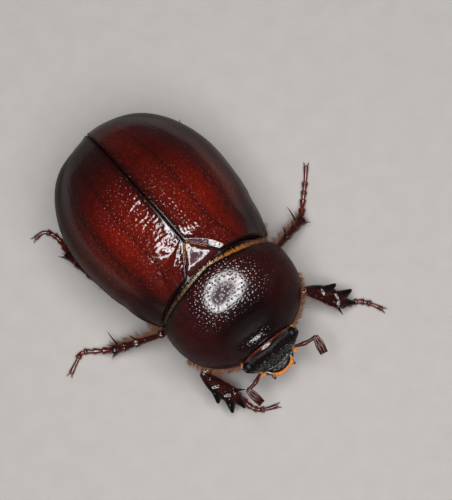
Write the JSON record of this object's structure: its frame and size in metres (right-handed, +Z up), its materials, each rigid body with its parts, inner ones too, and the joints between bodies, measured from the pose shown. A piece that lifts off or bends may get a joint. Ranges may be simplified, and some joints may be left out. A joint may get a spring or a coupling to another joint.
{
  "type": "female rhinoceros beetle model",
  "caption": "Life-size hornless rhinoceros beetle with glossy chestnut wing cases, a domed pitted shield behind the head and toothed digging shins, standing on its feet.",
  "frame": {"origin": "centre of the whole insect's bounding box, on the floor the feet stand on", "axes": "+Z up, the head points along -Y, the insect's left side is +X"},
  "size_m": [0.026, 0.0262, 0.0106],
  "materials": {
    "wing_case": "glossy chestnut-red chitin with fine pits",
    "pronotum": "glossy maroon-black pitted chitin",
    "head": "black, granular chitin",
    "leg": "glossy dark red-brown chitin",
    "foot": "glossy red-brown chitin",
    "underside": "satin red-brown chitin",
    "eye": "polished black",
    "feeler": "satin reddish-brown chitin",
    "hair": "soft golden-brown bristles"
  },
  "bodies": {
    "root": {"elytron_left": "wing_case", "elytron_right": "wing_case", "scutellum": "pronotum", "pronotum": "pronotum", "thorax": "underside", "abdomen": "underside", "pygidium": "underside", "prothorax": "underside", "head": "head", "clypeus": "head", "labrum": "head", "eye_left": "eye", "mandible_left": "head", "palp_left": "feeler", "antenna_left_stalk": "feeler", "antenna_left_club": "feeler", "eye_right": "eye", "mandible_right": "head", "palp_right": "feeler", "antenna_right_stalk": "feeler", "antenna_right_club": "feeler", "coxa_front_left": "leg", "femur_front_left": "leg", "tibia_front_left": "leg", "tarsus_front_left": "foot", "coxa_front_right": "leg", "femur_front_right": "leg", "tibia_front_right": "leg", "tarsus_front_right": "foot", "coxa_middle_left": "leg", "femur_middle_left": "leg", "tibia_middle_left": "leg", "tarsus_middle_left": "foot", "coxa_middle_right": "leg", "femur_middle_right": "leg", "tibia_middle_right": "leg", "tarsus_middle_right": "foot", "coxa_hind_left": "leg", "femur_hind_left": "leg", "tibia_hind_left": "leg", "tarsus_hind_left": "foot", "coxa_hind_right": "leg", "femur_hind_right": "leg", "tibia_hind_right": "leg", "tarsus_hind_right": "foot"}
  },
  "joints": []
}
